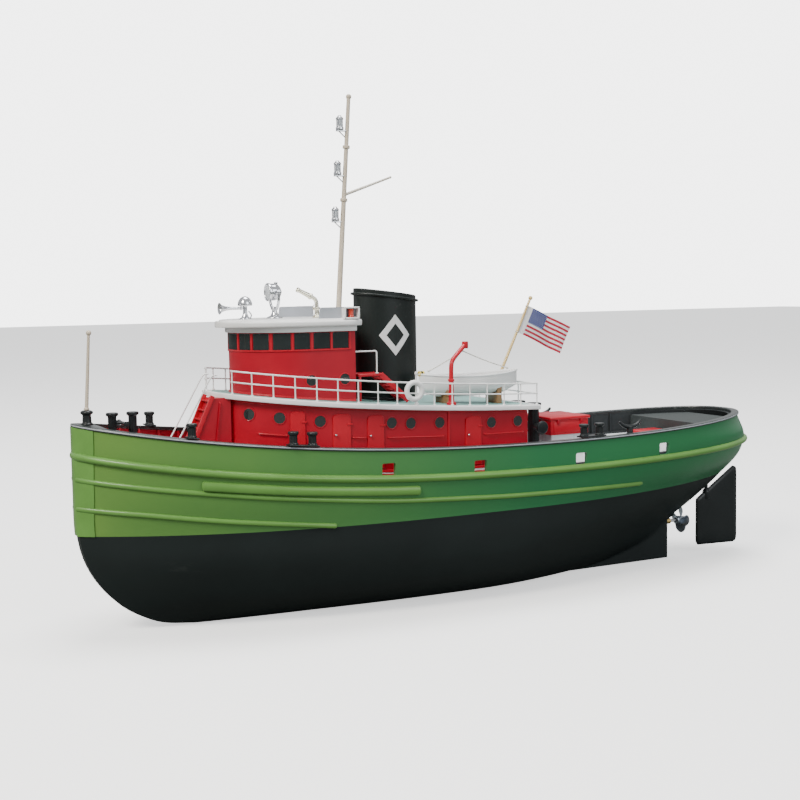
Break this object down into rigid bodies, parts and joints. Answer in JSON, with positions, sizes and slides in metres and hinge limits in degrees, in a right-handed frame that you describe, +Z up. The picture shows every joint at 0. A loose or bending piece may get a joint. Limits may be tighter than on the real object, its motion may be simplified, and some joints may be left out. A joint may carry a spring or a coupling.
{
  "type": "radio-controlled tugboat model",
  "caption": "Radio-controlled harbour tug with a lift-off cabin, a steering linkage, a driven propeller, deck fittings and a staff flag.",
  "frame": {"origin": "on the flat bottom of the hull, amidships on the centreline", "axes": "+X to the bow, +Y to port, +Z up"},
  "size_m": [0.4273, 0.1184, 0.2755],
  "materials": {
    "battery_wrap": "blue shrink wrap",
    "black_paint": "satin black paint",
    "black_plastic": "moulded black plastic",
    "boat_deck_paint": "matt sea green deck paint with white margins",
    "brass_fitting": "turned brass",
    "deck_dark": "matt dark grey deck paint",
    "deck_grey": "matt light grey deck paint",
    "falls_cord": "thin twisted line",
    "flag_cloth": "thin woven cloth, striped with a dotted canton",
    "grey_paint": "satin grey paint",
    "guard_paint": "satin light green paint",
    "hull_paint": "satin two-tone paint, green topsides over a black bottom",
    "mast_wood": "satin varnished hardwood dowel",
    "plated_metal": "bright plated fittings",
    "propeller_metal": "satin cast metal",
    "red_paint": "gloss red paint",
    "red_plastic": "moulded red plastic",
    "staff_wood": "varnished dowel",
    "steel_rod": "drawn wire",
    "white_paint": "gloss white paint",
    "white_plastic": "moulded white plastic"
  },
  "bodies": {
    "hull": {"hull_shell": "hull_paint", "main_guard": "guard_paint", "bulwark_cap_rail": "black_paint", "main_deck": "deck_grey", "fantail_deck": "deck_dark", "jackstaff": "mast_wood", "king_post": "black_paint", "bow_bitt": "black_paint", "tow_bitt": "black_paint", "cleat_port": "black_paint", "cleat_starboard": "black_paint", "bollard_fore_port": "black_paint", "bollard_fore_starboard": "black_paint", "bollards_mid_port": "black_paint", "bollards_mid_starboard": "black_paint", "bollards_aft_port": "black_paint", "bollards_aft_starboard": "black_paint", "motor": "steel_rod", "motor_mount": "black_plastic", "stern_tube": "brass_fitting", "rudder_tube": "brass_fitting", "servo": "black_plastic", "battery": "battery_wrap", "speed_controller": "black_plastic", "receiver": "black_plastic", "power_switch": "black_plastic"},
    "drive_line": {"propeller": "propeller_metal", "prop_shaft": "steel_rod", "shaft_coupling": "brass_fitting"},
    "rudder": {"rudder": "black_paint", "tiller_arm": "steel_rod"},
    "servo_arm": {"servo_horn": "white_plastic"},
    "steering_rod": {"pushrod": "steel_rod"},
    "aft_hatch": {"aft_hatch": "red_paint"},
    "lazarette_hatch": {"lazarette_hatch": "red_paint"},
    "switch_slider": {"switch_slider": "red_plastic"},
    "searchlight_stand": {"searchlight_stand": "plated_metal"},
    "searchlight_head": {"searchlight_head": "plated_metal"},
    "cabin": {"boat_deck": "boat_deck_paint", "deckhouse": "red_paint", "pilothouse": "red_paint", "pilothouse_roof": "white_paint", "funnel": "black_paint", "boat_deck_rail_port": "white_paint", "boat_deck_rail_starboard": "white_paint", "front_ladder": "red_paint", "aft_stairs": "red_paint", "lifeboat": "white_paint", "davit": "red_paint", "boat_falls": "falls_cord", "mast": "mast_wood", "mast_lamp_1": "plated_metal", "mast_lamp_2": "plated_metal", "mast_lamp_3": "plated_metal", "horn": "plated_metal", "fire_monitor": "brass_fitting", "light_board_port": "grey_paint", "light_board_starboard": "grey_paint", "flagstaff": "staff_wood", "flag": "flag_cloth"}
  },
  "joints": [
    {"name": "propeller_spin", "type": "hinge", "parent": "hull", "child": "drive_line", "pos_m": [-0.1625, 0, 0.0224], "axis": [1, 0, 0], "continuous": true},
    {"name": "rudder_turn", "type": "hinge", "parent": "hull", "child": "rudder", "pos_m": [-0.183, 0, 0.063], "axis": [0, 0, 1], "range_deg": [-35, 35]},
    {"name": "servo_turn", "type": "hinge", "parent": "hull", "child": "servo_arm", "pos_m": [-0.128, 0, 0.063], "axis": [0, 0, 1], "range_deg": [-35, 35]},
    {"name": "pushrod_pivot", "type": "hinge", "parent": "servo_arm", "child": "steering_rod", "pos_m": [-0.128, 0.009, 0.066], "axis": [0, 0, 1], "range_deg": [-35, 35]},
    {"name": "cabin_lift", "type": "slide", "parent": "hull", "child": "cabin", "axis": [0, 0, 1], "range_m": [0, 0.05]},
    {"name": "aft_hatch_lift", "type": "slide", "parent": "hull", "child": "aft_hatch", "axis": [0, 0, 1], "range_m": [0, 0.03]},
    {"name": "lazarette_hatch_lift", "type": "slide", "parent": "hull", "child": "lazarette_hatch", "axis": [0, 0, 1], "range_m": [0, 0.02]},
    {"name": "switch_slide", "type": "slide", "parent": "hull", "child": "switch_slider", "axis": [1, 0, 0], "range_m": [0, 0.005]},
    {"name": "searchlight_pan", "type": "hinge", "parent": "cabin", "child": "searchlight_stand", "pos_m": [0.11, 0, 0.1703], "axis": [0, 0, 1], "range_deg": [-120, 120]},
    {"name": "searchlight_tilt", "type": "hinge", "parent": "searchlight_stand", "child": "searchlight_head", "pos_m": [0.11, 0, 0.1703], "axis": [0, 1, 0], "range_deg": [-40, 20]}
  ],
  "couplings": [
    {"joint": "servo_turn", "follows": "rudder_turn", "ratio": 1},
    {"joint": "pushrod_pivot", "follows": "rudder_turn", "ratio": -1}
  ]
}
